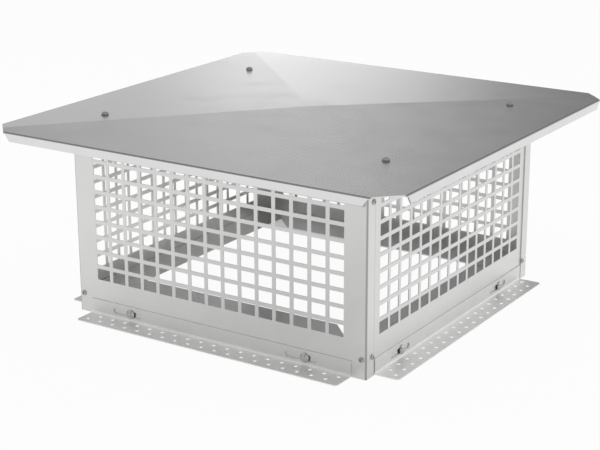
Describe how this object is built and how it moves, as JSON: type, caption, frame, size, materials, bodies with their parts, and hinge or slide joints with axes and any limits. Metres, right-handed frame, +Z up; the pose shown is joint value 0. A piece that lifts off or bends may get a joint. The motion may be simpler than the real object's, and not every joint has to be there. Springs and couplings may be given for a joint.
{
  "type": "chimney rain cap",
  "caption": "Square stainless chimney rain cap: pitched lid with hemmed lips on a perforated cage, with inner flue ledges and slotted mounting brackets that slide along the walls.",
  "frame": {"origin": "centre of the cage, level with the undersides of the mounting brackets", "axes": "+Z up, +X towards the right wall, -Y towards the front wall, both square to the walls"},
  "size_m": [0.584, 0.584, 0.256],
  "materials": {
    "wall_steel": "satin",
    "lid_steel": "satin",
    "ledge_steel": "satin",
    "bracket_steel": "satin",
    "bolt_steel": "polished",
    "screw_steel": "polished",
    "lid_screw_steel": "dark",
    "sealing_rubber": "matt"
  },
  "bodies": {
    "cage": {"front_wall_panel": "wall_steel", "front_base_ledge": "ledge_steel", "front_bracket_bolts": "bolt_steel", "front_bracket_nuts": "bolt_steel", "front_corner_screws": "screw_steel", "right_wall_panel": "wall_steel", "right_base_ledge": "ledge_steel", "right_bracket_bolts": "bolt_steel", "right_bracket_nuts": "bolt_steel", "right_corner_screws": "screw_steel", "back_wall_panel": "wall_steel", "back_base_ledge": "ledge_steel", "back_bracket_bolts": "bolt_steel", "back_bracket_nuts": "bolt_steel", "back_corner_screws": "screw_steel", "left_wall_panel": "wall_steel", "left_base_ledge": "ledge_steel", "left_bracket_bolts": "bolt_steel", "left_bracket_nuts": "bolt_steel", "left_corner_screws": "screw_steel", "lid": "lid_steel", "lid_screws": "lid_screw_steel", "lid_sealing_washers": "sealing_rubber", "lid_weld_nuts": "bolt_steel"},
    "front_bracket": {"front_mounting_bracket": "bracket_steel"},
    "right_bracket": {"right_mounting_bracket": "bracket_steel"},
    "back_bracket": {"back_mounting_bracket": "bracket_steel"},
    "left_bracket": {"left_mounting_bracket": "bracket_steel"}
  },
  "joints": [
    {"name": "front_bracket_slide", "type": "slide", "parent": "cage", "child": "front_bracket", "axis": [1, 0, 0], "range_m": [-0.0146, 0.0246]},
    {"name": "right_bracket_slide", "type": "slide", "parent": "cage", "child": "right_bracket", "axis": [0, 1, 0], "range_m": [-0.0022, 0.0022]},
    {"name": "back_bracket_slide", "type": "slide", "parent": "cage", "child": "back_bracket", "axis": [-1, 0, 0], "range_m": [-0.0146, 0.0246]},
    {"name": "left_bracket_slide", "type": "slide", "parent": "cage", "child": "left_bracket", "axis": [0, -1, 0], "range_m": [-0.0022, 0.0022]}
  ]
}
